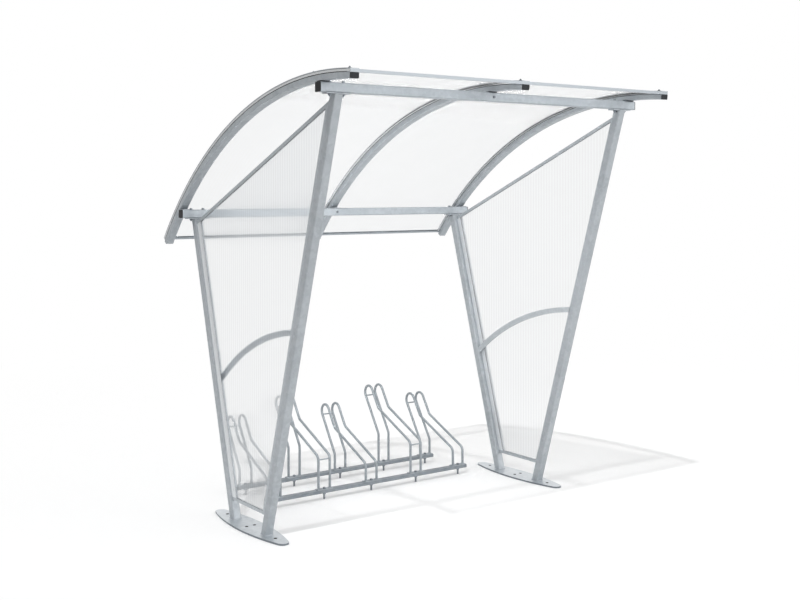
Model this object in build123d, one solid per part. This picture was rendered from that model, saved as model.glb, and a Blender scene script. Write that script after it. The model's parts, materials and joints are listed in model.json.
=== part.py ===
"""Cycle shelter: two V-shaped side frames carry a curved, translucent roof over a wheel rack.

Millimetres, +Z up. X runs along the shelter, from the left frame to the right one. The open
front is at -Y, and the low side of the roof is at +Y. The floor is Z = 0. The pieces are laid
out from the middle of the base plates, and the whole is then moved along Y, so that the origin
ends up on the floor under the middle of the shelter.
"""
from build123d import *
import os
from math import asin, cos, degrees, hypot, radians, sin, sqrt

os.makedirs("parts", exist_ok=True)

# ---- driving dimensions ------------------------------------------------------------------

# base plates, one under each frame: a slim lens with rounded tips
frame_spacing = 2000.0
plate_length = 800.0
plate_width = 165.0
plate_thickness = 10.0
plate_tip_radius = 34.0
anchor_hole_diameter = 16.0
end_hole_offset = 286.0
middle_hole_spacing = 50.0

# posts: square tube, leaning apart from the base plate
post_size = 50.0
post_wall = 3.0
post_corner = 7.0
front_foot_y = -190.0
rear_foot_y = 182.0
head_plate_length = 140.0
head_plate_thickness = 6.0

# purlins: square tube along X, on the heads of the posts
purlin_size = 50.0
purlin_wall = 3.0
purlin_corner = 7.0
purlin_end_margin = 3.0
front_purlin_y = -918.0
front_purlin_top = 2432.0
rear_purlin_top = 1786.0
cap_flange = 4.0
cap_plug_depth = 16.0
cap_clearance = 0.3

# roof arches: rectangular tube bent to one radius
roof_radius = 2450.0
roof_centre_y = -956.0
arch_width = 50.0
arch_height = 30.0
arch_wall = 3.0
arch_corner = 4.0
arch_outset = 77.0
arch_front_overhang = 277.0
arch_rear_angle = 49.7
arch_pad_thickness = 5.0
cleat_thickness = 4.0
cleat_leg = 46.0
cleat_width = 40.0

# roof covering: sheet between two gaskets, held down by clamp strips over the arches
gasket_thickness = 3.0
gasket_width = 48.0
gasket_lip = 8.0
roof_sheet_thickness = 10.0
sheet_joint = 6.0
sheet_margin = 2.0
clamp_thickness = 4.0
clamp_width = 50.0
front_profile_depth = 30.0
rear_profile_depth = 10.0
rear_setback = 9.0
edge_profile_web = 3.0
slide_gap = 0.2
seat_gap = 0.3

# side panels: sheet in a U-profile frame between the two posts
panel_thickness = 10.0
panel_outset = 10.0
panel_profile_width = 14.0
panel_rail_depth = 18.0
panel_channel_depth = 26.0
panel_profile_web = 2.0
panel_bottom = 118.0
panel_front_drop = 69.0
panel_rear_drop = 84.0
brace_radius = 1573.0
brace_apex_y = -619.0
brace_apex_z = 1153.0
brace_depth = 32.0
brace_thickness = 12.0
brace_inset = 2.0

# wheel rack: two rails, five holders, every other one raised
holder_count = 5
holder_spacing = 350.0
rack_rail_length = 1520.0
rack_rail_width = 40.0
rack_rail_height = 20.0
rack_rail_wall = 2.0
rack_rail_clearance = 40.0
rack_front_y = 264.0
rack_rear_y = 632.0
foot_plate_length = 112.0
foot_plate_thickness = 4.0
rack_bolt_diameter = 12.0
rack_bolt_head = 8.0
rack_bolt_head_diameter = 20.0
rod_diameter = 16.0
wheel_slot = 82.0
loop_width = 94.0
loop_lean = 33.0
loop_leg = 330.0
loop_rear_bend_z = 165.0
loop_front_bend_z = 173.0
loop_knee_z = 338.0
loop_bend_radius = 40.0
raised_lift = 90.0
crossbar_diameter = 9.0
front_crossbar_drop = 18.0

# ---- places worked out from them ---------------------------------------------------------

# the outer arches stand just outside the frames, and the purlins reach a little past them
arch_spacing = frame_spacing / 2 + arch_outset
purlin_length = 2 * arch_spacing + arch_width + 2 * purlin_end_margin

# the arches rest on pads on the front purlin
roof_centre_z = (
    front_purlin_top
    + arch_pad_thickness
    - sqrt(roof_radius**2 - (front_purlin_y - roof_centre_y) ** 2)
)

# the upper rear corner of the rear purlin lies just inside the arches
rear_purlin_y = (
    roof_centre_y
    + sqrt((roof_radius - seat_gap) ** 2 - (rear_purlin_top - roof_centre_z) ** 2)
    - purlin_size / 2
)

# radii of the roof's layers, from the underside of the arches to the top of the clamp strips
arch_top = roof_radius + arch_height
sheet_bottom = arch_top + gasket_thickness
sheet_top = sheet_bottom + roof_sheet_thickness
gasket_top = sheet_top + gasket_thickness
clamp_top = gasket_top + clamp_thickness

arch_front = asin((front_purlin_y - arch_front_overhang - roof_centre_y) / roof_radius)
arch_rear = radians(arch_rear_angle)
web_angle = edge_profile_web / arch_top
front_profile_angle = front_profile_depth / arch_top
rear_profile_angle = rear_profile_depth / arch_top
skin_rear = arch_rear - rear_setback / arch_top

front_post_top = front_purlin_top - purlin_size - head_plate_thickness
rear_post_top = rear_purlin_top - purlin_size - head_plate_thickness
panel_top_front = front_purlin_top - panel_front_drop
panel_top_rear = rear_purlin_top - panel_rear_drop

rack_rail_top = rack_rail_clearance + rack_rail_height
foot_top = rack_rail_top + foot_plate_thickness
rack_hole_diameter = rack_bolt_diameter + 2 * seat_gap

nodes = {}


# ---- shapes that repeat ------------------------------------------------------------------


def tube_section(width, height, corner, wall):
    """Rounded rectangle with a parallel hollow."""
    inner_corner = max(corner - wall, 0.5)
    outer = RectangleRounded(width, height, corner)
    return outer - RectangleRounded(width - 2 * wall, height - 2 * wall, inner_corner)


def side_prism(face, x, width):
    """Prism of a face drawn in Y and Z, centred on x along X."""
    return Pos(x, 0, 0) * extrude(Plane.YZ * face, width / 2, both=True)


def ring_face(centre, inner, outer, start, end):
    """Part of a ring in Y and Z, between two angles counted from the top."""

    def at(radius, angle):
        return (centre[0] + radius * sin(angle), centre[1] + radius * cos(angle))

    middle = (start + end) / 2
    rim = ThreePointArc(at(outer, start), at(outer, middle), at(outer, end))
    far_end = Line(at(outer, end), at(inner, end))
    bore = ThreePointArc(at(inner, end), at(inner, middle), at(inner, start))
    near_end = Line(at(inner, start), at(outer, start))
    return make_face([rim, far_end, bore, near_end])


def roof_layer(inner, outer, start, end, x, width):
    """A layer of the roof between two radii and two angles."""
    face = ring_face((roof_centre_y, roof_centre_z), inner, outer, start, end)
    return side_prism(face, x, width)


def roof_sweep(section, start, end, x):
    """A section, drawn about the middle of the arch tube, carried round the roof's centre."""
    upright = Plane.XZ * (Pos(0, roof_radius + arch_height / 2) * section)
    at_rear = Pos(x, roof_centre_y, roof_centre_z) * Rot(X=-degrees(end)) * upright
    turn = degrees(end - start)
    return revolve(at_rear, Axis((x, roof_centre_y, roof_centre_z), (1, 0, 0)), turn)


# ---- base plates -------------------------------------------------------------------------


def base_plate():
    """Lens outline: two long side arcs, tangent to a small arc at each tip."""
    half_width = plate_width / 2
    tip_y = plate_length / 2 - plate_tip_radius
    side_radius = (half_width**2 + tip_y**2 - plate_tip_radius**2) / (
        2 * (half_width - plate_tip_radius)
    )
    reach = side_radius - plate_tip_radius
    meet_x = plate_tip_radius * (side_radius - half_width) / reach
    meet_y = tip_y + plate_tip_radius * tip_y / reach
    right_side = ThreePointArc((meet_x, -meet_y), (half_width, 0), (meet_x, meet_y))
    rear_tip = ThreePointArc((meet_x, meet_y), (0, plate_length / 2), (-meet_x, meet_y))
    left_side = ThreePointArc((-meet_x, meet_y), (-half_width, 0), (-meet_x, -meet_y))
    front_tip = ThreePointArc((-meet_x, -meet_y), (0, -plate_length / 2), (meet_x, -meet_y))
    outline = make_face([right_side, rear_tip, left_side, front_tip])
    holes = Sketch() + [
        Pos(x, y) * Circle(anchor_hole_diameter / 2)
        for x, y in (
            (0, -end_hole_offset),
            (0, end_hole_offset),
            (-middle_hole_spacing / 2, 0),
            (middle_hole_spacing / 2, 0),
        )
    ]
    return extrude(outline - holes, plate_thickness)


# ---- posts -------------------------------------------------------------------------------


def post(foot_y, head_y, top):
    """Leaning square tube, cut level at both ends, with a plate welded on its head."""
    rise = top - plate_thickness
    shift = head_y - foot_y
    length = hypot(rise, shift)
    level_depth = post_size * length / rise
    level_wall = post_wall * length / rise
    outer = RectangleRounded(post_size, level_depth, post_corner)
    hollow = RectangleRounded(
        post_size - 2 * post_wall, level_depth - 2 * level_wall, post_corner - post_wall
    )
    foot = Pos(0, foot_y, plate_thickness) * (outer - hollow)
    shaft = extrude(foot, length, dir=(0, shift, rise))
    head = Pos(0, head_y, top) * Box(
        head_plate_length,
        purlin_size,
        head_plate_thickness,
        align=(Align.CENTER, Align.CENTER, Align.MIN),
    )
    return shaft + head


# ---- side panels, drawn in Y and Z ---------------------------------------------------------


def inner_edge(foot_y, head_y, top, side, inset):
    """Line along the inner face of a post: a point on it and its direction."""
    rise = top - plate_thickness
    shift = head_y - foot_y
    length = hypot(rise, shift)
    offset = (post_size / 2 + seat_gap + inset) * length / rise
    return (foot_y + side * offset, plate_thickness), (shift, rise)


def front_edge(inset):
    return inner_edge(front_foot_y, front_purlin_y, front_post_top, 1, inset)


def rear_edge(inset):
    return inner_edge(rear_foot_y, rear_purlin_y, rear_post_top, -1, inset)


def bottom_edge(inset):
    return (0, panel_bottom + inset), (1, 0)


def top_edge(inset):
    run = rear_purlin_y - front_purlin_y
    fall = panel_top_rear - panel_top_front
    lowered = inset * hypot(run, fall) / run
    return (front_purlin_y, panel_top_front - lowered), (run, fall)


def crossing(first, second):
    """Point where two lines meet, each given by a point and a direction."""
    (y1, z1), (u1, v1) = first
    (y2, z2), (u2, v2) = second
    along = ((y2 - y1) * v2 - (z2 - z1) * u2) / (u1 * v2 - v1 * u2)
    return (y1 + along * u1, z1 + along * v1)


def four_sided(front, bottom, rear, top):
    corners = [
        crossing(front, bottom),
        crossing(rear, bottom),
        crossing(rear, top),
        crossing(front, top),
    ]
    return make_face(Polyline(*corners, close=True))


def panel_pieces(x, inward):
    """The sheet, its four U-profiles and the curved brace of one side."""
    rail = panel_rail_depth
    channel = panel_channel_depth
    web = panel_profile_web
    panel_x = x - inward * panel_outset
    groove = side_prism(
        four_sided(front_edge(web), bottom_edge(web), rear_edge(web), top_edge(web)),
        panel_x,
        panel_thickness + 2 * slide_gap,
    )
    inset = web + slide_gap
    sheet = side_prism(
        four_sided(front_edge(inset), bottom_edge(inset), rear_edge(inset), top_edge(inset)),
        panel_x,
        panel_thickness,
    )
    strips = {
        "panel_bottom_rail": (front_edge(0), bottom_edge(0), rear_edge(0), bottom_edge(rail)),
        "panel_top_rail": (front_edge(0), top_edge(rail), rear_edge(0), top_edge(0)),
        "panel_front_channel": (
            front_edge(0), bottom_edge(rail), front_edge(channel), top_edge(rail),
        ),
        "panel_rear_channel": (
            rear_edge(channel), bottom_edge(rail), rear_edge(0), top_edge(rail),
        ),
    }
    pieces = {"side_panel": sheet}
    for name, edges in strips.items():
        pieces[name] = side_prism(four_sided(*edges), panel_x, panel_profile_width) - groove
    ring = ring_face(
        (brace_apex_y, brace_apex_z - brace_radius),
        brace_radius - brace_depth / 2,
        brace_radius + brace_depth / 2,
        0,
        radians(60),
    )
    bay = four_sided(front_edge(0), bottom_edge(0), rear_edge(0), top_edge(0))
    brace_x = x + inward * (post_size / 2 - brace_inset - brace_thickness / 2)
    pieces["curved_brace"] = side_prism(ring & bay, brace_x, brace_thickness)
    return pieces


# ---- purlins -----------------------------------------------------------------------------


def purlin(y, top):
    section = tube_section(purlin_size, purlin_size, purlin_corner, purlin_wall)
    tube = extrude(Plane.YZ * section, purlin_length / 2, both=True)
    return Pos(0, y, top - purlin_size / 2) * tube


def purlin_cap(y, top, side):
    """Flange over the tube's end, with a plug inside it."""
    flange = extrude(
        Plane.YZ * RectangleRounded(purlin_size, purlin_size, purlin_corner), cap_flange
    )
    plug_size = purlin_size - 2 * (purlin_wall + cap_clearance)
    plug_corner = purlin_corner - purlin_wall
    plug = extrude(
        Plane.YZ * RectangleRounded(plug_size, plug_size, plug_corner), -cap_plug_depth
    )
    end = Pos(side * purlin_length / 2, y, top - purlin_size / 2)
    return end * Rot(Z=0 if side > 0 else 180) * (flange + plug)


# ---- roof --------------------------------------------------------------------------------


def arch(x):
    """Bent tube, closed at its low rear end by a welded plate."""
    section = tube_section(arch_width, arch_height, arch_corner, arch_wall)
    closed = RectangleRounded(arch_width, arch_height, arch_corner)
    tube = roof_sweep(section, arch_front, arch_rear, x)
    end_plate = roof_sweep(closed, arch_rear, arch_rear + arch_wall / arch_top, x)
    return tube + end_plate


def arch_cap(x):
    cap_angle = cap_flange / arch_top
    plug_angle = cap_plug_depth / arch_top
    slack = arch_wall + cap_clearance
    flange = roof_sweep(
        RectangleRounded(arch_width, arch_height, arch_corner),
        arch_front - cap_angle,
        arch_front,
        x,
    )
    plug = roof_sweep(
        Rectangle(arch_width - 2 * slack, arch_height - 2 * slack),
        arch_front,
        arch_front + plug_angle,
        x,
    )
    return flange + plug


def under_arch(x):
    """Round block that fills the space under an arch."""
    return Pos(x, roof_centre_y, roof_centre_z) * Cylinder(
        roof_radius, 2 * arch_width, rotation=(0, 90, 0)
    )


def arch_pad(x):
    """Pad between the front purlin and an arch, its top hollowed to the arch's radius."""
    stock = Pos(x, front_purlin_y, front_purlin_top) * Box(
        arch_width,
        purlin_size - 2 * purlin_corner,
        2 * arch_pad_thickness,
        align=(Align.CENTER, Align.CENTER, Align.MIN),
    )
    return stock & under_arch(x)


def rear_cleat(x):
    """Folded cleat in the wedge between the rear purlin and an arch."""
    corner_y = rear_purlin_y + purlin_size / 2
    corner_angle = asin((corner_y - roof_centre_y) / roof_radius)
    upper_leg = roof_layer(
        roof_radius - slide_gap - cleat_thickness,
        roof_radius - slide_gap,
        corner_angle - cleat_leg / roof_radius,
        corner_angle,
        x,
        cleat_width,
    )
    flat_end = corner_y - purlin_corner
    lower_leg = Pos(x, flat_end, rear_purlin_top) * Box(
        cleat_width,
        cleat_leg - purlin_corner,
        cleat_thickness,
        align=(Align.CENTER, Align.MAX, Align.MIN),
    )
    above_purlin = Pos(x, corner_y, rear_purlin_top) * Box(
        2 * cleat_width,
        4 * cleat_leg,
        2 * cleat_leg,
        align=(Align.CENTER, Align.CENTER, Align.MIN),
    )
    return (upper_leg & above_purlin) + lower_leg


def edge_profile(at_rear):
    """U-profile along an edge of the roof, open towards the sheet."""
    bottom = arch_top
    groove_bottom = sheet_bottom - slide_gap
    groove_top = sheet_top + slide_gap
    width = 2 * arch_spacing + arch_width
    if at_rear:
        outer_span = (skin_rear - rear_profile_angle, skin_rear + web_angle)
        groove_span = (skin_rear - 2 * rear_profile_angle, skin_rear)
    else:
        outer_span = (arch_front - web_angle, arch_front + front_profile_angle)
        groove_span = (arch_front, arch_front + 2 * front_profile_angle)
    outer = roof_layer(bottom, gasket_top, *outer_span, 0, width)
    groove = roof_layer(groove_bottom, groove_top, *groove_span, 0, width + 2)
    return outer - groove


def roof_sheet(side):
    """One bay of roof sheet, from the middle arch to an outer one."""
    inner_x = sheet_joint / 2
    outer_x = arch_spacing + arch_width / 2 - sheet_margin
    slack = slide_gap / arch_top
    return roof_layer(
        sheet_bottom,
        sheet_top,
        arch_front + slack,
        skin_rear - slack,
        side * (inner_x + outer_x) / 2,
        outer_x - inner_x,
    )


def gasket(inner, outer, x, width):
    """Strip of rubber along an arch, between the two edge profiles."""
    start = arch_front + front_profile_angle
    end = skin_rear - rear_profile_angle
    return roof_layer(inner, outer, start, end, x, width)


def lower_gasket(x):
    return gasket(arch_top, sheet_bottom, x, gasket_width)


def gasket_lips(x):
    """Two narrow lips that carry the edges of a clamp strip."""
    offset = (clamp_width - gasket_lip) / 2 - sheet_margin
    return Compound(
        [gasket(sheet_top, gasket_top, x + side * offset, gasket_lip) for side in (-1, 1)]
    )


def clamp_strip(x):
    return roof_layer(
        gasket_top, clamp_top, arch_front - web_angle, skin_rear + web_angle, x, clamp_width
    )


# ---- wheel rack --------------------------------------------------------------------------


def holder_x(index):
    return (index - (holder_count - 1) / 2) * holder_spacing


def rack_rail(y):
    """Flat tube on the floor bolts, with a hole for each of them."""
    section = Rectangle(rack_rail_width, rack_rail_height) - Rectangle(
        rack_rail_width - 2 * rack_rail_wall, rack_rail_height - 2 * rack_rail_wall
    )
    tube = extrude(Plane.YZ * section, rack_rail_length / 2, both=True)
    rail = Pos(0, y, rack_rail_clearance + rack_rail_height / 2) * tube
    for index in range(holder_count):
        rail -= Pos(holder_x(index), y, rack_rail_top) * Cylinder(
            rack_hole_diameter / 2, 3 * rack_rail_height
        )
    return rail


def rack_bolt(x, y):
    """Bolt through a foot plate and its rail, down to the floor."""
    shank = Pos(x, y, 0) * Cylinder(
        rack_bolt_diameter / 2, foot_top, align=(Align.CENTER, Align.CENTER, Align.MIN)
    )
    head = Pos(x, y, foot_top) * extrude(
        RegularPolygon(rack_bolt_head_diameter / 2, 6), rack_bolt_head
    )
    return shank + head


def wheel_loop(x, lift):
    """One bent rod: rear leg, crown, knee and front leg in an upright plane."""
    lean = radians(loop_lean)
    along = (sin(lean), cos(lean))
    across = (-cos(lean), sin(lean))
    rear_bend = (rack_rear_y, loop_rear_bend_z + lift)
    crown_rear = (rear_bend[0] + loop_leg * along[0], rear_bend[1] + loop_leg * along[1])
    crown_front = (
        crown_rear[0] + loop_width * across[0],
        crown_rear[1] + loop_width * across[1],
    )
    knee_drop = (crown_front[1] - loop_knee_z - lift) / along[1]
    knee = (crown_front[0] - knee_drop * along[0], loop_knee_z + lift)
    front_bend = (rack_front_y, loop_front_bend_z + lift)
    corners = [
        (rack_rear_y, foot_top),
        rear_bend,
        crown_rear,
        crown_front,
        knee,
        front_bend,
        (rack_front_y, foot_top),
    ]
    crown_radius = loop_width / 2 - 0.05
    radii = (
        loop_bend_radius, crown_radius, crown_radius, loop_bend_radius, loop_bend_radius,
    )
    path = Plane.YZ.offset(x) * FilletPolyline(*corners, radius=radii)
    section = Pos(x, rack_rear_y, foot_top) * Circle(rod_diameter / 2)
    return sweep(section, path)


def crossbar(x, y, z):
    """Thin rod between the two loops of a holder."""
    return Pos(x, y, z) * Cylinder(crossbar_diameter / 2, wheel_slot, rotation=(0, 90, 0))


def foot_plate(x, y):
    plate = Pos(x, y, rack_rail_top) * Box(
        foot_plate_length,
        rack_rail_width,
        foot_plate_thickness,
        align=(Align.CENTER, Align.CENTER, Align.MIN),
    )
    return plate - Pos(x, y, rack_rail_top) * Cylinder(
        rack_hole_diameter / 2, 4 * foot_plate_thickness
    )


def wheel_holder(index):
    """Two loops with a wheel's width between them, a crossbar and two foot plates."""
    x = holder_x(index)
    raised = index % 2 == 1
    lift = raised_lift if raised else 0.0
    lean = radians(loop_lean)
    bar_reach = loop_leg - loop_width / 2
    holder = wheel_loop(x - wheel_slot / 2, lift) + wheel_loop(x + wheel_slot / 2, lift)
    holder += crossbar(
        x,
        rack_rear_y + bar_reach * sin(lean),
        loop_rear_bend_z + lift + bar_reach * cos(lean),
    )
    if raised:
        holder += crossbar(x, rack_front_y, loop_front_bend_z + lift - front_crossbar_drop)
    holder += foot_plate(x, rack_front_y)
    holder += foot_plate(x, rack_rear_y)
    return holder


# ---- assembly ----------------------------------------------------------------------------

for side_name, side in (("left", -1), ("right", 1)):
    x = side * frame_spacing / 2
    front = post(front_foot_y, front_purlin_y, front_post_top)
    rear = post(rear_foot_y, rear_purlin_y, rear_post_top)
    nodes[f"{side_name}_base_plate"] = Pos(x, 0, 0) * base_plate()
    nodes[f"{side_name}_front_post"] = Pos(x, 0, 0) * front
    nodes[f"{side_name}_rear_post"] = Pos(x, 0, 0) * rear
    for piece_name, piece in panel_pieces(x, -side).items():
        nodes[f"{side_name}_{piece_name}"] = piece
    nodes[f"{side_name}_roof_sheet"] = roof_sheet(side)

nodes["front_purlin"] = purlin(front_purlin_y, front_purlin_top)
nodes["rear_purlin"] = purlin(rear_purlin_y, rear_purlin_top)
nodes["purlin_end_caps"] = Compound(
    [
        purlin_cap(y, top, side)
        for y, top in ((front_purlin_y, front_purlin_top), (rear_purlin_y, rear_purlin_top))
        for side in (-1, 1)
    ]
)

arch_places = {"left": -arch_spacing, "middle": 0.0, "right": arch_spacing}
for place_name, x in arch_places.items():
    nodes[f"{place_name}_roof_arch"] = arch(x)
    nodes[f"{place_name}_clamp_strip"] = clamp_strip(x)


def at_each_arch(make):
    return Compound([make(x) for x in arch_places.values()])


nodes["arch_end_caps"] = at_each_arch(arch_cap)
nodes["front_arch_pads"] = at_each_arch(arch_pad)
nodes["rear_arch_cleats"] = at_each_arch(rear_cleat)
nodes["lower_gaskets"] = at_each_arch(lower_gasket)
nodes["upper_gaskets"] = at_each_arch(gasket_lips)
nodes["front_edge_profile"] = edge_profile(at_rear=False)
nodes["rear_edge_profile"] = edge_profile(at_rear=True)

nodes["rack_front_rail"] = rack_rail(rack_front_y)
nodes["rack_rear_rail"] = rack_rail(rack_rear_y)
for index in range(holder_count):
    nodes[f"wheel_holder_{index + 1}"] = wheel_holder(index)
nodes["rack_floor_bolts"] = Compound(
    [
        rack_bolt(holder_x(index), y)
        for y in (rack_front_y, rack_rear_y)
        for index in range(holder_count)
    ]
)

# the origin goes under the middle of the shelter's depth
boxes = [piece.bounding_box() for piece in nodes.values()]
front_reach = min(box.min.Y for box in boxes)
rear_reach = max(box.max.Y for box in boxes)
to_middle = Pos(0, -(front_reach + rear_reach) / 2, 0)
for name, piece in nodes.items():
    export_step(to_middle * piece, f"parts/{name}.step")
print("moved along Y by", -(front_reach + rear_reach) / 2)
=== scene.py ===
"""Looks of a cycle shelter: galvanised steel frames, a curved twin-wall roof and a wheel rack.

Metres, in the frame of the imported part: +X along the shelter, -Y towards the open front, +Z up.
"""
import json
import math

import bpy
import numpy as np
from mathutils import Matrix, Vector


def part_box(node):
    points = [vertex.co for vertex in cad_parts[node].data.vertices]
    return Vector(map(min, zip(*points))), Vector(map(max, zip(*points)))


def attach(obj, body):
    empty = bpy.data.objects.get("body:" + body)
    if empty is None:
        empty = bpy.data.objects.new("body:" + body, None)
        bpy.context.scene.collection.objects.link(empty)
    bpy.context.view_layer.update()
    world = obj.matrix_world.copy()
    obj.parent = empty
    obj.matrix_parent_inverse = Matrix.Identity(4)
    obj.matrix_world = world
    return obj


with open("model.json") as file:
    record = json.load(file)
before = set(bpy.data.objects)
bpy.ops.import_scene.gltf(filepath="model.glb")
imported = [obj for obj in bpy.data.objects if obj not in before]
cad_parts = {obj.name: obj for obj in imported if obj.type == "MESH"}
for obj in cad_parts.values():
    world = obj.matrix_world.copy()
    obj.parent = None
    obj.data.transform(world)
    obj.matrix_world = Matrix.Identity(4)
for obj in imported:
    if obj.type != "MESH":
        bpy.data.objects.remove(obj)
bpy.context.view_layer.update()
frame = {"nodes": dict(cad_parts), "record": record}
nodes = frame["nodes"]

SIDES = ("left", "right")
PLACES = ("left", "middle", "right")
ENDS = ("front", "rear")
HOLDERS = tuple(f"wheel_holder_{number}" for number in range(1, 6))

# ---- small tools for node trees ----------------------------------------------------------------


def colour(hex_code):
    """Linear RGBA of an sRGB hex code."""
    values = np.array([int(hex_code[i : i + 2], 16) for i in (1, 3, 5)]) / 255
    linear = np.where(values <= 0.04045, values / 12.92, ((values + 0.055) / 1.055) ** 2.4)
    return (*linear.tolist(), 1.0)


def grey(value):
    """The same number on all three channels, as a colour that isn't changed."""
    return (value, value, value, 1.0)


def add(tree, kind, inputs=None, **settings):
    """Add one node, set its properties, then fill its sockets with values or links."""
    node = tree.nodes.new(kind)
    for name, value in settings.items():
        setattr(node, name, value)
    for name, value in (inputs or {}).items():
        socket = node.inputs[name]
        if isinstance(value, bpy.types.NodeSocket):
            tree.links.new(value, socket)
        else:
            socket.default_value = value
    return node


def new_material(name):
    """An empty material with its shader and output joined."""
    material = bpy.data.materials.new(name)
    material.use_nodes = True
    tree = material.node_tree
    tree.nodes.clear()
    shader = add(tree, "ShaderNodeBsdfPrincipled")
    add(tree, "ShaderNodeOutputMaterial", {"Surface": shader.outputs["BSDF"]})
    return material, tree, shader


def place(tree, stretch=(1.0, 1.0, 1.0)):
    """Object coordinates in metres, scaled per axis."""
    coordinates = add(tree, "ShaderNodeTexCoord")
    return add(
        tree,
        "ShaderNodeMapping",
        {"Vector": coordinates.outputs["Object"], "Scale": stretch},
    ).outputs["Vector"]


def between(tree, factor, low, high, start=0.0, end=1.0):
    """Number from low to high as the factor goes from start to end."""
    return add(
        tree,
        "ShaderNodeMapRange",
        {"Value": factor, "From Min": start, "From Max": end, "To Min": low, "To Max": high},
    ).outputs["Result"]


def maths(tree, operation, first, second):
    """Result of one operation on two numbers."""
    return add(tree, "ShaderNodeMath", {0: first, 1: second}, operation=operation).outputs["Value"]


def blend_colours(tree, factor, first, second):
    """Colour from the first to the second as the factor goes from 0 to 1."""
    return add(
        tree,
        "ShaderNodeMix",
        {0: factor, 6: first, 7: second},
        data_type="RGBA",
    ).outputs[2]


def noise(tree, size, detail=3.0, stretch=(1.0, 1.0, 1.0)):
    """Soft noise with features of a size in metres."""
    return add(
        tree,
        "ShaderNodeTexNoise",
        {"Vector": place(tree, stretch), "Scale": 1 / size, "Detail": detail},
    ).outputs["Fac"]


def bump(tree, shader, height, strength, distance):
    """Small relief on the shader, from a height that goes from 0 to 1."""
    normal = add(
        tree,
        "ShaderNodeBump",
        {"Height": height, "Strength": strength, "Distance": distance},
    )
    tree.links.new(normal.outputs["Normal"], shader.inputs["Normal"])


# ---- materials ---------------------------------------------------------------------------------


def hot_dip_galvanised_steel(name, dark, mid, light, stretch, metallic=0.5, rough=(0.42, 0.6)):
    """Steel dipped in molten zinc: a dull blue-grey skin of crystals, which gives soft patches
    of lighter and darker grey with faint runs along the tube, and a broad, broken shine."""
    material, tree, shader = new_material(name)
    runs = noise(tree, 0.07, 4.0, stretch)
    # crystals of about 18 mm, a little larger than life so that they show
    crystals = add(
        tree,
        "ShaderNodeTexVoronoi",
        {"Vector": place(tree), "Scale": 1 / 0.018, "Randomness": 1.0},
        feature="F1",
    )
    tone = add(tree, "ShaderNodeSeparateColor", {"Color": crystals.outputs["Color"]})
    patches = blend_colours(
        tree, between(tree, runs, 0.0, 1.0, 0.3, 0.7), colour(dark), colour(light)
    )
    crystal = blend_colours(tree, tone.outputs["Red"], colour(dark), colour(light))
    skin = add(tree, "ShaderNodeMix", {0: 0.5, 6: patches, 7: crystal}, data_type="RGBA")
    base = blend_colours(tree, noise(tree, 0.25), skin.outputs[2], colour(mid))
    tree.links.new(base, shader.inputs["Base Color"])
    tree.links.new(between(tree, tone.outputs["Green"], *rough), shader.inputs["Roughness"])
    shader.inputs["Metallic"].default_value = metallic
    bump(tree, shader, noise(tree, 0.004, 2.0), 0.12, 0.0006)
    return material


def shade_plate_sides(material, side_shade_hex):
    """Painted shade on the side faces of a plate: they are coloured darker than its level faces,
    to stand in for the shade along its edges. The surface's own normal tells them apart."""
    tree = material.node_tree
    shader = next(node for node in tree.nodes if node.type == "BSDF_PRINCIPLED")
    normal = add(tree, "ShaderNodeNewGeometry").outputs["True Normal"]
    upward = add(tree, "ShaderNodeSeparateXYZ", {"Vector": normal}).outputs["Z"]
    level = between(tree, maths(tree, "ABSOLUTE", upward, 0.0), 0.0, 1.0, 0.3, 0.7)
    face = shader.inputs["Base Color"].links[0].from_socket
    tree.links.new(blend_colours(tree, level, colour(side_shade_hex), face), shader.inputs["Base Color"])


def extruded_aluminium(name, base_hex, streak_hex, stretch):
    """Extruded aluminium, left as it comes from the die: pale, with fine drawn lines along
    its length, which pull the shine out across it."""
    material, tree, shader = new_material(name)
    lines = noise(tree, 0.006, 3.0, stretch)
    base = blend_colours(
        tree, between(tree, lines, -0.5, 1.5), colour(streak_hex), colour(base_hex)
    )
    tree.links.new(base, shader.inputs["Base Color"])
    shader.inputs["Metallic"].default_value = 0.45
    tree.links.new(between(tree, lines, 0.3, 0.5), shader.inputs["Roughness"])
    bump(tree, shader, lines, 0.1, 0.0004)
    return material


def moulded_polyethylene(name, base_hex, worn_hex):
    """Injection-moulded polyethylene: near black with a fine spark-eroded grain, so it has
    a weak, even sheen and goes greyer where the weather has chalked it."""
    material, tree, shader = new_material(name)
    grain = noise(tree, 0.0015, 2.0)
    chalk = noise(tree, 0.02)
    base = blend_colours(
        tree, between(tree, chalk, -0.4, 1.0), colour(base_hex), colour(worn_hex)
    )
    tree.links.new(base, shader.inputs["Base Color"])
    tree.links.new(between(tree, grain, 0.4, 0.6), shader.inputs["Roughness"])
    shader.inputs["Specular IOR Level"].default_value = 0.25
    bump(tree, shader, grain, 0.2, 0.0003)
    return material


def epdm_rubber(name, base_hex, dust_hex):
    """Extruded EPDM rubber: matt black that has picked up pale dust in patches."""
    material, tree, shader = new_material(name)
    dust = noise(tree, 0.03, 4.0)
    base = blend_colours(
        tree, between(tree, dust, -0.6, 1.0), colour(base_hex), colour(dust_hex)
    )
    tree.links.new(base, shader.inputs["Base Color"])
    tree.links.new(between(tree, dust, 0.65, 0.85), shader.inputs["Roughness"])
    bump(tree, shader, noise(tree, 0.002, 2.0), 0.15, 0.0003)
    return material


def zinc_plated_steel(name, base_hex, dull_hex):
    """Bright zinc plating on bolts and washers: cleaner and shinier than the dipped tubes,
    dulled in small spots."""
    material, tree, shader = new_material(name)
    spots = noise(tree, 0.005)
    base = blend_colours(
        tree, between(tree, spots, -0.5, 1.5), colour(dull_hex), colour(base_hex)
    )
    tree.links.new(base, shader.inputs["Base Color"])
    shader.inputs["Metallic"].default_value = 0.8
    tree.links.new(between(tree, spots, 0.3, 0.5), shader.inputs["Roughness"])
    return material


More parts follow.
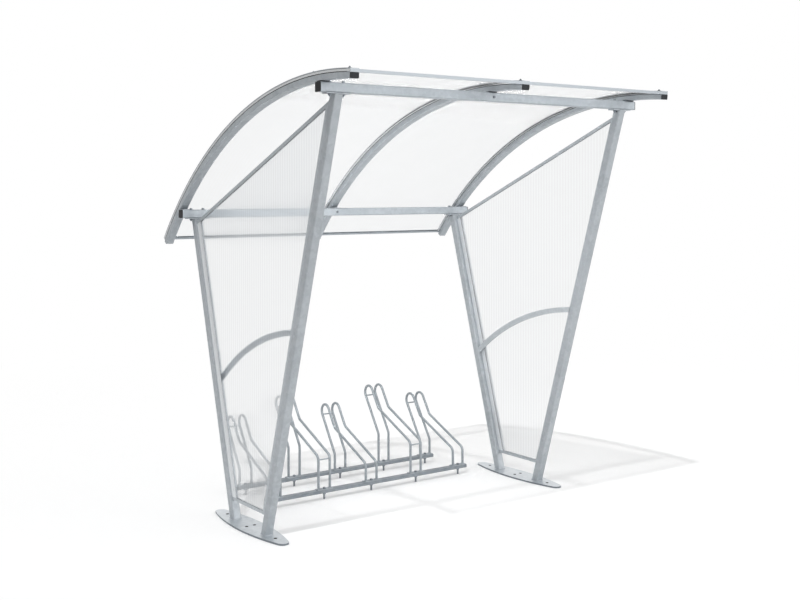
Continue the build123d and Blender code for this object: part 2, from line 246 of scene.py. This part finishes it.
def shade_in_holes(name, base_hex, paler_hex):
    """Painted shade at the bottom of a hole: a dark, matt, uneven colour that stands in for the
    shade inside it.
    """
    material, tree, shader = new_material(name)
    speckle = noise(tree, 0.003, 4.0)
    base = blend_colours(
        tree, between(tree, speckle, -0.4, 1.2), colour(base_hex), colour(paler_hex)
    )
    tree.links.new(base, shader.inputs["Base Color"])
    tree.links.new(between(tree, speckle, 0.8, 1.0), shader.inputs["Roughness"])
    bump(tree, shader, speckle, 0.5, 0.001)
    return material


def sealing_tape(name, base_hex, crease_hex):
    """Pale vapour-proof tape over the cut flutes of a sheet: satin, with fine creases."""
    material, tree, shader = new_material(name)
    creases = noise(tree, 0.004, 4.0, (1.0, 4.0, 1.0))
    base = blend_colours(
        tree, between(tree, creases, -0.4, 1.4), colour(crease_hex), colour(base_hex)
    )
    tree.links.new(base, shader.inputs["Base Color"])
    tree.links.new(between(tree, creases, 0.35, 0.55), shader.inputs["Roughness"])
    bump(tree, shader, creases, 0.2, 0.0003)
    return material


def twin_wall_polycarbonate(name, across, clear_alpha, rib_alpha):
    """Extruded twin-wall polycarbonate: two clear skins joined by ribs. Part of the light goes
    straight through, and the rest is scattered on its way, so the sheet is bright and hazy.
    Each rib catches the light, and the sheet reads as fine stripes that run the way it was
    extruded. Ribs in sheets this thick usually stand about 10 mm apart; they are drawn at
    25 mm, so that the stripes are wide enough to show."""
    material, tree, shader = new_material(name)
    rib_spacing = 0.025
    # a wave of the node is a tenth of pi long at a scale of 1
    ribs = add(
        tree,
        "ShaderNodeTexWave",
        {"Vector": place(tree), "Scale": math.pi / 10 / rib_spacing},
        wave_type="BANDS",
        bands_direction=across,
        wave_profile="SIN",
    ).outputs["Fac"]
    haze = between(tree, noise(tree, 0.35), 0.95, 1.05)
    alpha = maths(tree, "MULTIPLY", between(tree, ribs, clear_alpha, rib_alpha), haze)
    base = blend_colours(tree, ribs, colour("#e8e9ea"), colour("#d8dbdd"))
    tree.links.new(base, shader.inputs["Base Color"])
    tree.links.new(alpha, shader.inputs["Alpha"])
    tree.links.new(between(tree, ribs, 0.5, 0.6), shader.inputs["Roughness"])
    shader.inputs["Transmission Weight"].default_value = 0.85
    shader.inputs["IOR"].default_value = 1.05
    return material


ALONG_X = (0.25, 1.0, 1.0)
ALONG_Z = (1.0, 1.0, 0.25)
EVEN = (1.0, 1.0, 1.0)

steel_x = hot_dip_galvanised_steel(
    "galvanised_steel_purlins", "#a0a7ac", "#b4bbc1", "#c6ccd1", ALONG_X
)
steel_z = hot_dip_galvanised_steel(
    "galvanised_steel_posts", "#9ea4a9", "#b1b7bc", "#c4c9cd", ALONG_Z
)
# the plates' paler tone, against the tubes' steel, is painted light for their lit top faces
steel_plate = hot_dip_galvanised_steel(
    "galvanised_steel_plates",
    "#bac0c5",
    "#d0d5d9",
    "#e0e4e7",
    EVEN,
    metallic=0.8,
    rough=(0.28, 0.42),
)
# the plates' side faces get painted shade
shade_plate_sides(steel_plate, "#7a8187")
steel_brace = hot_dip_galvanised_steel(
    "galvanised_steel_braces", "#abb1b6", "#bbc1c5", "#cbd0d4", EVEN
)
steel_rack = hot_dip_galvanised_steel(
    "galvanised_steel_rack", "#767d83", "#8a9197", "#9ea4a9", EVEN
)
# the wheel holders get a lighter copy of the rack's steel: painted highlight for the light on
# their round tubes
loop_steel_painted_light = hot_dip_galvanised_steel(
    "galvanised_steel_loops_painted_light", "#8b9298", "#9fa6ab", "#b2b8bd", EVEN
)
aluminium_y = extruded_aluminium("mill_aluminium_profiles", "#c4c9cd", "#a9b0b5", (8.0, 0.4, 0.4))
# the rear channels get a much paler copy of the profiles' aluminium: painted light over the shade
# where they sit beside the rear posts
channel_aluminium_painted_light = extruded_aluminium(
    "aluminium_channels_painted_light", "#eef1f3", "#dde1e4", (0.4, 0.4, 8.0)
)
aluminium_x = extruded_aluminium("mill_aluminium_edges", "#b8bec3", "#9ea5ab", (0.4, 8.0, 8.0))
cap_plastic = moulded_polyethylene("polyethylene_arch_caps", "#1f2226", "#34373c")
cap_black = moulded_polyethylene("polyethylene_purlin_caps", "#0c0d10", "#1c1e22")
tape = sealing_tape("sealing_tape", "#eceef0", "#dcdfe2")
glazing_tape = sealing_tape("glazing_tape", "#f0f2f3", "#e2e5e7")
rubber = epdm_rubber("epdm_gaskets", "#17181a", "#3c3d3e")
pad_rubber = epdm_rubber("epdm_pads", "#3a3b3e", "#5a5b5d")
grey_rubber = epdm_rubber("epdm_upper_gaskets", "#77797b", "#8d8f91")
bolt_zinc = zinc_plated_steel("zinc_plated_bolts", "#8f959b", "#70767d")
# painted shade for the insides of the anchor holes and vent holes
hole_shade = shade_in_holes("painted_hole_shade", "#1d1e20", "#33322f")
side_sheet = twin_wall_polycarbonate("polycarbonate_side_sheets", "Y", 0.32, 0.385)
roof_sheet = twin_wall_polycarbonate("polycarbonate_roof_sheets", "X", 0.285, 0.315)


def give(material, *names):
    """Put the material on CAD nodes, in every slot they have."""
    for name in names:
        mesh = nodes[name].data
        mesh.materials.clear()
        mesh.materials.append(material)


give(steel_plate, *(f"{side}_base_plate" for side in SIDES))
give(steel_z, "rear_arch_cleats", *(f"{side}_{end}_post" for side in SIDES for end in ENDS))
give(steel_brace, *(f"{side}_curved_brace" for side in SIDES))
give(steel_x, "front_purlin", "rear_purlin")
give(steel_z, *(f"{p}_roof_arch" for p in PLACES))
give(aluminium_y, *(f"{p}_clamp_strip" for p in PLACES))
give(
    aluminium_y,
    *(
        f"{side}_panel_{part}"
        for side in SIDES
        for part in ("bottom_rail", "top_rail", "front_channel")
    ),
)
give(channel_aluminium_painted_light, *(f"{side}_panel_rear_channel" for side in SIDES))
give(aluminium_x, "front_edge_profile", "rear_edge_profile")
give(cap_black, "purlin_end_caps")
give(cap_plastic, "arch_end_caps")
give(rubber, "lower_gaskets")
give(grey_rubber, "upper_gaskets")
give(pad_rubber, "front_arch_pads")
give(side_sheet, *(f"{side}_side_panel" for side in SIDES))
give(roof_sheet, *(f"{side}_roof_sheet" for side in SIDES))
give(steel_rack, "rack_front_rail", "rack_rear_rail")
give(loop_steel_painted_light, *HOLDERS)
give(bolt_zinc, "rack_floor_bolts")

# ---- small tools for surfaces ------------------------------------------------------------------


def piece(name, rings, material, loops=False):
    """A mesh of equal forms that rides on the part.

    rings[form, ring, point] are places in metres. The points of a ring close on themselves.
    With loops the rings go round too, as on a bead round a tube. Otherwise the first and the
    last ring close as a fan on a point at their middle. Faces are turned so that the volume
    of all the forms together comes out positive.
    """
    forms, count, around, _ = rings.shape
    places = rings.reshape(-1, 3)
    index = np.arange(forms * count * around).reshape(forms, count, around)
    beside = np.roll(index, -1, axis=2)
    ahead = np.roll(index, -1, axis=1)
    across = np.roll(ahead, -1, axis=2)
    quads = np.stack([index, beside, across, ahead], axis=-1)
    if loops:
        faces = quads.reshape(-1, 4)
        corners = [faces]
    else:
        middles = np.concatenate([rings[:, 0].mean(axis=1), rings[:, -1].mean(axis=1)])
        first = len(places) + np.arange(forms)[:, None]
        last = first + forms
        first = np.broadcast_to(first, (forms, around))
        last = np.broadcast_to(last, (forms, around))
        places = np.concatenate([places, middles])
        near = np.stack([first, beside[:, 0], index[:, 0]], axis=-1)
        far = np.stack([last, index[:, -1], beside[:, -1]], axis=-1)
        corners = [quads[:, :-1].reshape(-1, 4), near.reshape(-1, 3), far.reshape(-1, 3)]
    volume = 0.0
    for faces in corners:
        a, b, c = places[faces[:, 0]], places[faces[:, 1]], places[faces[:, 2]]
        volume += np.einsum("ij,ij->", a - places[0], np.cross(b - places[0], c - places[0]))
        if faces.shape[1] == 4:
            d = places[faces[:, 3]] - places[0]
            volume += np.einsum("ij,ij->", a - places[0], np.cross(c - places[0], d))
    if volume < 0:
        corners = [faces[:, ::-1] for faces in corners]
    mesh = bpy.data.meshes.new(name)
    mesh.from_pydata(places.tolist(), [], [face for faces in corners for face in faces.tolist()])
    mesh.materials.append(material)
    mesh.shade_smooth()
    mesh.set_sharp_from_angle(angle=math.radians(35))
    obj = bpy.data.objects.new(name, mesh)
    bpy.context.scene.collection.objects.link(obj)
    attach(obj, "root")


def standing(rings, places, up):
    """Copies of one form, drawn about +Z, moved to the places with +Z turned to each up."""
    up = np.asarray(up, float)
    up = up / np.linalg.norm(up, axis=1, keepdims=True)
    # any direction that isn't along up gives the other two axes
    helper = np.where(np.abs(up[:, :1]) > 0.9, [[0.0, 1.0, 0.0]], [[1.0, 0.0, 0.0]])
    side = np.cross(helper, up)
    side /= np.linalg.norm(side, axis=1, keepdims=True)
    front = np.cross(up, side)
    axes = np.stack([side, front, up], axis=1)
    return np.einsum("rpi,kij->krpj", rings, axes) + np.asarray(places)[:, None, None, :]


TURN = np.linspace(0, 2 * np.pi, 36, endpoint=False)


def hexagon(across_flats):
    """Radius of a hexagon at each angle: half its width over flats, over the cosine of the
    angle from the middle of the nearest flat."""
    from_flat = (TURN + np.pi / 6) % (np.pi / 3) - np.pi / 6
    return across_flats / 2 / np.cos(from_flat)


def turned(profile):
    """Rings from (radius, height) pairs. A radius is a number, or an array over the angles."""
    rings = [
        np.stack([r * np.cos(TURN), r * np.sin(TURN), np.full_like(TURN, z)], axis=-1)
        for r, z in profile
    ]
    return np.stack(rings)


def hex_head(across_flats, height, washer_radius, washer_thickness):
    """Washer and hexagon head: the head's top corners are cut back by a cone, so its radius
    there is the lesser of the hexagon's and a circle's."""
    flats = hexagon(across_flats)
    circle = across_flats / 2
    shoulder = np.minimum(flats, circle * 1.06)
    top = washer_thickness + height
    return turned(
        [
            (washer_radius * 0.5, -0.0002),
            (washer_radius, -0.0002),
            (washer_radius, washer_thickness * 0.8),
            (washer_radius * 0.96, washer_thickness),
            (flats, washer_thickness),
            (flats, top - 0.09 * across_flats),
            (shoulder, top - 0.04 * across_flats),
            (np.minimum(flats, circle * 0.92), top),
            (circle * 0.5, top),
        ]
    )


def hex_nut(across_flats, height, thread_radius, thread_out):
    """Nut with both rims chamfered, and the end of the bolt standing out of it as a dome."""
    flats = hexagon(across_flats)
    circle = np.minimum(flats, across_flats / 2)
    rim = 0.07 * across_flats
    return turned(
        [
            (circle * 0.6, -0.0002),
            (circle, -0.0002),
            (flats, rim),
            (flats, height - rim),
            (circle, height),
            (thread_radius * 1.02, height),
            (thread_radius, height + 0.6 * thread_out),
            (thread_radius * 0.8, height + thread_out),
        ]
    )


def bead(path, outward, radius, ripple):
    """Weld bead: a round section of the radius carried along a closed path. outward is the
    unit vector away from the tube at each point. The radius swells and shrinks along the
    way, once every ripple points, as the pools of a weld do."""
    count = len(path)
    swell = radius * (1 + 0.12 * np.sin(2 * np.pi * np.arange(count) / ripple))
    angle = np.linspace(0, 2 * np.pi, 10, endpoint=False)
    out = np.cos(angle)[None, :, None] * outward[:, None, :]
    rise = np.sin(angle)[None, :, None] * np.array([0.0, 0.0, 1.0])
    return path[:, None, :] + swell[:, None, None] * (out + rise)


def round_oblong(half_x, half_y, corner, count):
    """Points at even distances along a rectangle with round corners, and the directions
    square to it. A corner's arc is a circle about its own centre, and the straights join
    the arcs."""
    angle = np.linspace(0, 2 * np.pi, 240, endpoint=False) + 1e-6
    normal = np.stack([np.cos(angle), np.sin(angle)], axis=-1)
    core = np.array([half_x - corner, half_y - corner])
    points = np.sign(normal) * core + corner * normal
    closed = np.concatenate([points, points[:1]])
    turned_normal = np.concatenate([normal, normal[:1]])
    along = np.concatenate([[0], np.cumsum(np.linalg.norm(np.diff(closed, axis=0), axis=1))])
    even = np.linspace(0, along[-1], count, endpoint=False)
    x, y, u, v = (
        np.interp(even, along, column) for column in (*closed.T, *turned_normal.T)
    )
    outward = np.stack([u, v, np.zeros(count)], axis=-1)
    outward /= np.linalg.norm(outward, axis=1, keepdims=True)
    return np.stack([x, y, np.zeros(count)], axis=-1), outward


def centre_of(node):
    """Middle of a node's box."""
    low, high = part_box(node)
    return [(a + b) / 2 for a, b in zip(low, high)]


def corners_of(node):
    """All vertices of a CAD node, in metres."""
    mesh = nodes[node].data
    flat = np.empty(3 * len(mesh.vertices))
    mesh.vertices.foreach_get("co", flat)
    return flat.reshape(-1, 3)


def arc_of(node):
    """Centre in Y and Z, inner and outer radius, and first and last angle from the top, of a
    bent strip. The circle is the one that fits its outer vertices best: the least-squares
    answer of 2 y a + 2 z b + c = y^2 + z^2. A first fit to all vertices tells outer from
    inner."""
    points = corners_of(node)[:, 1:]
    chosen = points
    for _ in range(2):
        matrix = np.column_stack([2 * chosen, np.ones(len(chosen))])
        (a, b, c), *_ = np.linalg.lstsq(matrix, (chosen**2).sum(axis=1), rcond=None)
        distance = np.hypot(*(points - (a, b)).T)
        chosen = points[distance > distance.mean()]
    angles = np.arctan2(points[:, 0] - a, points[:, 1] - b)
    return (a, b), distance.min(), distance.max(), angles.min(), angles.max()


# ---- fixings on the posts and purlins ----------------------------------------------------------

head_plate = 0.006
post_half = 0.025
post_corner = 0.008
head_bolt_offset = 0.04
vent_hole_drop = 0.007
# what counts as a post's foot: vertices this close to its lowest point
foot_slice = 0.0005
# the middle of a weld bead lies this far outside the tube, and swells once in so many points
weld_out = 0.001
weld_ripple = 4
heads, nuts, seams, mouths = [], [], [], []
for side in SIDES:
    inward = 1.0 if side == "left" else -1.0
    for end in ENDS:
        post = f"{side}_{end}_post"
        low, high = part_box(post)
        _, purlin_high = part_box(f"{end}_purlin")
        x, head_y = centre_of(post)[0], centre_of(f"{end}_purlin")[1]
        foot = corners_of(post)
        foot = foot[foot[:, 2] < low[2] + foot_slice]
        foot_y = (foot[:, 1].min() + foot[:, 1].max()) / 2
        half_depth = (foot[:, 1].max() - foot[:, 1].min()) / 2
        under_plate = high[2] - head_plate
        for shift in (-head_bolt_offset, head_bolt_offset):
            heads.append((x + shift, head_y, purlin_high[2]))
            nuts.append((x + shift, head_y, under_plate))
        seams.append((x, foot_y, low[2], half_depth))
        seams.append((x, head_y, under_plate, half_depth))
        mouths.append((x + inward * post_half, head_y, under_plate - vent_hole_drop, inward))

upright, downward, forward = [(0.0, 0.0, 1.0)], [(0.0, 0.0, -1.0)], [(0.0, -1.0, 0.0)]
piece(
    "post_head_bolts",
    standing(
        hex_head(across_flats=0.016, height=0.007, washer_radius=0.0095, washer_thickness=0.002),
        heads,
        upright * len(heads),
    ),
    bolt_zinc,
)
piece(
    "post_head_nuts",
    standing(
        hex_nut(across_flats=0.016, height=0.008, thread_radius=0.005, thread_out=0.006),
        nuts,
        downward * len(nuts),
    ),
    bolt_zinc,
)

beads = []
for x, y, z, half_depth in seams:
    path, outward = round_oblong(
        post_half + weld_out, half_depth + weld_out, post_corner, count=160
    )
    beads.append(bead(path + (x, y, z), outward, radius=0.0032, ripple=weld_ripple))
piece("post_weld_beads", np.stack(beads), steel_z, loops=True)

# vent holes in the posts, under the head plates: shallow cups of painted shade with a rolled rim
mouth_places = [(x, y, z) for x, y, z, _ in mouths]
mouth_ups = [(inward, 0.0, 0.0) for *_, inward in mouths]
rim = turned(
    [(0.0066, -0.0004), (0.0066, 0.0003), (0.006, 0.0007), (0.0052, 0.0004), (0.0046, -0.0002)]
)
piece("vent_hole_rims", standing(rim, mouth_places, mouth_ups), steel_z)
cup = turned([(0.0045, -0.0008), (0.0052, 0.0004), (0.003, 0.0008)])
piece("vent_hole_mouths", standing(cup, mouth_places, mouth_ups), hole_shade)

# the bolts that hold the middle arch, seen as heads on the front faces of the purlins
arch_bolts = []
for end in ENDS:
    front_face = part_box(f"{end}_purlin")[0][1]
    middle_x, purlin_z = centre_of("middle_roof_arch")[0], centre_of(f"{end}_purlin")[2]
    arch_bolts.append((middle_x, front_face, purlin_z))
piece(
    "arch_bolts",
    standing(
        hex_head(across_flats=0.013, height=0.005, washer_radius=0.0075, washer_thickness=0.001),
        arch_bolts,
        forward * len(arch_bolts),
    ),
    bolt_zinc,
)

# ---- fixings of the roof skin ------------------------------------------------------------------

screws_per_strip = 8
screw_end_margin = 0.045
washer_height = 0.0026
screw_places, screw_ups = [], []
for place_name in PLACES:
    strip = f"{place_name}_clamp_strip"
    (centre_y, centre_z), _, radius, first_angle, last_angle = arc_of(strip)
    margin = screw_end_margin / radius
    angles = np.linspace(first_angle + margin, last_angle - margin, screws_per_strip)
    x = centre_of(strip)[0]
    for angle in angles:
        up = (0.0, math.sin(angle), math.cos(angle))
        screw_ups.append(up)
        screw_places.append((x, centre_y + radius * up[1], centre_z + radius * up[2]))
dished_washer = turned(
    [
        (0.004, -0.0002),
        (0.0085, -0.0002),
        (0.009, 0.0012),
        (0.0078, washer_height),
        (0.004, 0.003),
    ]
)
piece(
    "roof_screw_washers",
    standing(dished_washer, screw_places, screw_ups),
    rubber,
)
raised_places = np.array(screw_places) + washer_height * np.array(screw_ups)
piece(
    "roof_screws",
    standing(
        hex_head(across_flats=0.008, height=0.005, washer_radius=0.0075, washer_thickness=0.0012),
        raised_places,
        screw_ups,
    ),
    bolt_zinc,
)


def arched(centre, low_x, high_x, low_radius, high_radius, angles):
    """A flat bar with round edges along the roof: its section, drawn across X and the radius,
    is carried round the roof's centre in Y and Z, one ring for each angle."""
    half_x, half_radius = (high_x - low_x) / 2, (high_radius - low_radius) / 2
    section, _ = round_oblong(half_x, half_radius, min(half_x, half_radius) * 0.6, 32)
    x = section[None, :, 0] + (low_x + high_x) / 2
    radius = section[None, :, 1] + (low_radius + high_radius) / 2
    turn = angles[:, None]
    y = centre[0] + radius * np.sin(turn)
    z = centre[1] + radius * np.cos(turn)
    return np.stack([np.broadcast_to(x, y.shape), y, z], axis=-1)


# the sheets lie on flat glazing bars, a little wider than the arches, and a thin strip
# closes the flutes along each outer edge
roof_centre, sheet_bottom, sheet_top, first_angle, last_angle = arc_of("left_roof_sheet")
roof_steps = np.linspace(first_angle, last_angle, 90)
flange = 0.013
# how far a bar's faces lie below the sheet
bar_foot, bar_top = 0.0014, 0.0001
# how far a closing strip reaches past the arch's face, behind it, and past the sheet's faces
strip_out, strip_in, strip_below, strip_above = 0.0006, 0.0017, 0.0004, 0.0006
bars, closers = [], []
for place_name in PLACES:
    arch_low, arch_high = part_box(f"{place_name}_roof_arch")
    low_x = arch_low[0] - (0.0 if place_name == "left" else flange)
    high_x = arch_high[0] + (0.0 if place_name == "right" else flange)
    bars.append(
        arched(
            roof_centre,
            low_x,
            high_x,
            sheet_bottom - bar_foot,
            sheet_bottom - bar_top,
            roof_steps,
        )
    )
for side, face, inward in (
    ("left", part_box("left_roof_arch")[0][0], 1.0),
    ("right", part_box("right_roof_arch")[1][0], -1.0),
):
    outer_x, inner_x = face - inward * strip_out, face + inward * strip_in
    closers.append(
        arched(
            roof_centre,
            min(outer_x, inner_x),
            max(outer_x, inner_x),
            sheet_bottom - strip_below,
            sheet_top + strip_above,
            roof_steps,
        )
    )
piece("roof_glazing_bars", np.stack(bars), glazing_tape)
piece("roof_closing_strips", np.stack(closers), glazing_tape)

# ---- sealing tape on the side panels -----------------------------------------------------------


def sheet_corners(node):
    """The four corners of a panel's sheet in Y and Z, in order round it: its vertices, each
    kept once, sorted by their angle about the middle."""
    points = corners_of(node)[:, 1:]
    middle = points.mean(axis=0)
    angle = np.arctan2(*(points - middle).T[::-1])
    unique = np.unique(np.round(np.column_stack([angle, points]), 5), axis=0)
    return unique[:, 1:]


def inset(corners, amounts):
    """Corners of the outline moved inwards, each edge by its own amount. Each new corner
    solves n1.p = c1 and n2.p = c2 for the two shifted edges that meet there."""
    edges = np.roll(corners, -1, axis=0) - corners
    normals = np.column_stack([-edges[:, 1], edges[:, 0]])
    normals /= np.linalg.norm(normals, axis=1, keepdims=True)
    offsets = np.einsum("ij,ij->i", normals, corners) + amounts
    matrices = np.stack([np.roll(normals, 1, axis=0), normals], axis=1)
    sides = np.stack([np.roll(offsets, 1), offsets], axis=1)[..., None]
    return np.linalg.solve(matrices, sides)[..., 0]


# along the rear post the tape shows beside the channel, most on the outside; these wider pale
# # strips are painted light over the shade beside the channel. Elsewhere the profiles cover it
tape_outside, tape_inside, tape_covered = 0.046, 0.031, 0.012
# the tape's outer edge lies just inside the sheet's, and its faces just out of it and in it
tape_edge, tape_proud, tape_sunk = 0.0005, 0.00018, 0.0002
# an edge is steep when it rises this much more than it runs
steepness = 1.2
strips = []
for side in SIDES:
    panel = f"{side}_side_panel"
    corners = sheet_corners(panel)
    edges = np.abs(np.roll(corners, -1, axis=0) - corners)
    # of the two steep edges, along the posts, the rear one lies beyond the middle
    beyond = (corners + np.roll(corners, -1, axis=0))[:, 0] / 2 > corners[:, 0].mean()
    rear = (edges[:, 1] > steepness * edges[:, 0]) & beyond
    outer = inset(corners, np.full(4, tape_edge))
    low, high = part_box(panel)
    widths = (tape_outside, tape_inside)
    on_left, on_right = widths if side == "left" else widths[::-1]
    for near, away, on_rear in (
        (low[0] - tape_proud, low[0] + tape_sunk, on_left),
        (high[0] - tape_sunk, high[0] + tape_proud, on_right),
    ):
        inner = inset(corners, np.where(rear, on_rear, tape_covered))
        strips.append(
            np.stack(
                [
                    np.column_stack([np.full(4, x), ring])
                    for x, ring in ((near, outer), (near, inner), (away, inner), (away, outer))
                ],
                axis=1,
            )
        )
piece("panel_sealing_tape", np.stack(strips), tape, loops=True)

# ---- fixings of the rack and the base plates ---------------------------------------------------

foot_plate = 0.004
rod_half = 0.008
slot_half = 0.041
rings, lower_nuts = [], []
for holder in HOLDERS:
    x = centre_of(holder)[0]
    for end in ENDS:
        rail = f"rack_{end}_rail"
        rail_low, rail_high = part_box(rail)
        y = centre_of(rail)[1]
        lower_nuts.append((x, y, rail_low[2]))
        for shift in (-slot_half, slot_half):
            path, outward = round_oblong(
                rod_half + weld_out, rod_half + weld_out, rod_half, count=60
            )
            path = path + (x + shift, y, rail_high[2] + foot_plate)
            rings.append(bead(path, outward, radius=0.003, ripple=weld_ripple))
piece("loop_weld_beads", np.stack(rings), loop_steel_painted_light, loops=True)
piece(
    "rack_rail_nuts",
    standing(
        hex_nut(across_flats=0.019, height=0.01, thread_radius=0.0063, thread_out=0.003),
        lower_nuts,
        downward * len(lower_nuts),
    ),
    bolt_zinc,
)

hole_places = []
for mount in frame["record"]["mounts"]:
    spacing = mount["dims"].get("spacing_y_mm"), mount["dims"].get("spacing_x_mm")
    if spacing == (None, None):
        continue
    # half of each spacing, from millimetres to metres
    along_y, along_x = ((value or 0.0) / 2000 for value in spacing)
    x, y, _ = mount["pos_m"]
    hole_places += [(x - along_x, y - along_y, 0.0), (x + along_x, y + along_y, 0.0)]
# painted shade fills each hole from just above the floor, and a thin ring of it lies round its rim
hole_radius = 0.0079
shade_rim_radius = 0.0098
plate_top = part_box("left_base_plate")[1][2]
piece(
    "anchor_hole_shade",
    standing(
        turned(
            [
                (0.006, 0.0002),
                (hole_radius, 0.0002),
                (hole_radius, plate_top + 0.0001),
                (shade_rim_radius, plate_top + 0.0001),
                (0.0095, plate_top + 0.0006),
                (hole_radius, plate_top + 0.0005),
                (0.007, plate_top - 0.003),
                (0.002, plate_top - 0.0035),
            ]
        ),
        hole_places,
        upright * len(hole_places),
    ),
    hole_shade,
)

# ---- floor, light and camera -------------------------------------------------------------------


def seen_directly(tree):
    """1 for rays that come from the camera or a clear sheet, and 0 for the rest, and the
    same for rays that come from a shiny surface."""
    path = add(tree, "ShaderNodeLightPath").outputs
    plain_view = maths(tree, "MAXIMUM", path["Is Camera Ray"], path["Is Transmission Ray"])
    return plain_view, path["Is Glossy Ray"]


floor_reach = 60.0
# the floor lies just under the feet, so that the two don't share a plane
floor_z = -0.0005
floor_mesh = bpy.data.meshes.new("studio_floor")
floor_mesh.from_pydata(
    [
        (-floor_reach, -floor_reach, floor_z),
        (floor_reach, -floor_reach, floor_z),
        (floor_reach, floor_reach, floor_z),
        (-floor_reach, floor_reach, floor_z),
    ],
    [],
    [(0, 1, 2, 3)],
)
floor = bpy.data.objects.new("studio_floor", floor_mesh)
bpy.context.scene.collection.objects.link(floor)
floor_material, floor_tree, floor_shader = new_material("studio_paper")
# the paper runs out into plain white, so that no horizon shows
from_middle = add(
    floor_tree, "ShaderNodeVectorMath", {0: place(floor_tree)}, operation="LENGTH"
).outputs["Value"]
far = between(floor_tree, from_middle, 0.0, 1.0, 2.5, 7.0)
floor_tree.links.new(
    blend_colours(floor_tree, far, grey(0.8), grey(0.0)), floor_shader.inputs["Base Color"]
)
floor_shader.inputs["Roughness"].default_value = 0.9
floor_shader.inputs["Specular IOR Level"].default_value = 0.0
floor_shader.inputs["Emission Color"].default_value = grey(1.0)
glow = between(floor_tree, far, 0.2, 1.0)
seen = maths(floor_tree, "MAXIMUM", *seen_directly(floor_tree))
floor_tree.links.new(
    maths(floor_tree, "MULTIPLY", seen, glow), floor_shader.inputs["Emission Strength"]
)
floor_mesh.materials.append(floor_material)

world = bpy.data.worlds.new("studio")
world.use_nodes = True
bpy.context.scene.world = world
world_tree = world.node_tree
world_tree.nodes.clear()
sky = add(world_tree, "ShaderNodeBackground", {"Color": grey(1.0)})
# the studio is white to look at, and lights the object less from its left side
heading_out = add(world_tree, "ShaderNodeTexCoord").outputs["Generated"]
towards_right = add(world_tree, "ShaderNodeSeparateXYZ", {"Vector": heading_out}).outputs["X"]
room_light = between(world_tree, towards_right, 0.55, 1.0, -1.0, 0.2)
plain_view, mirrored = seen_directly(world_tree)
room_light = maths(world_tree, "MULTIPLY", room_light, between(world_tree, mirrored, 0.72, 1.0))
world_tree.links.new(maths(world_tree, "MAXIMUM", plain_view, room_light), sky.inputs["Strength"])
add(world_tree, "ShaderNodeOutputWorld", {"Surface": sky.outputs["Background"]})


def aim(position, direction):
    """Matrix at a position whose -Z axis points along a direction."""
    forward = np.array(direction, float)
    forward /= np.linalg.norm(forward)
    right = np.cross(forward, (0.0, 0.0, 1.0))
    right /= np.linalg.norm(right)
    up = np.cross(right, forward)
    matrix = np.eye(4)
    matrix[:3, 0], matrix[:3, 1], matrix[:3, 2] = right, up, -forward
    matrix[:3, 3] = position
    return Matrix(matrix.tolist())


def lamp(name, kind, strength, position, direction, **settings):
    """A lamp at a position that shines along a direction."""
    data = bpy.data.lights.new(name, kind)
    data.energy = strength
    for key, value in settings.items():
        setattr(data, key, value)
    obj = bpy.data.objects.new(name, data)
    obj.matrix_world = aim(position, direction)
    bpy.context.scene.collection.objects.link(obj)


lamp("key_sun", "SUN", 1.25, (-3, -3, 6), (0.48, 0.30, -1.0), angle=math.radians(1.6))
lamp("front_fill", "AREA", 130.0, (3.2, -6.5, 2.6), (-0.42, 0.85, -0.15), size=5.0)
# a small soft light between the left posts, for the faces inside the shelter
lamp("inner_fill", "AREA", 9.0, (-0.8, 0.0, 1.3), (1.0, 0.0, 0.1), size=1.0)

camera_data = bpy.data.cameras.new("view")
camera_data.sensor_width = 36.0
camera_data.lens = 50.46
camera_data.shift_x = 0.0045
camera_data.shift_y = -0.1204
camera_data.clip_end = 200.0
camera = bpy.data.objects.new("view", camera_data)
heading, tilt, roll = math.radians(35.33), math.radians(0.545), math.radians(-0.12)
camera.matrix_world = (
    Matrix.Translation((-3.974, -5.497, 1.885))
    @ Matrix.Rotation(-heading, 4, "Z")
    @ Matrix.Rotation(math.pi / 2 - tilt, 4, "X")
    @ Matrix.Rotation(roll, 4, "Z")
)
bpy.context.scene.collection.objects.link(camera)
bpy.context.scene.camera = camera
bpy.context.scene.view_settings.view_transform = "Standard"
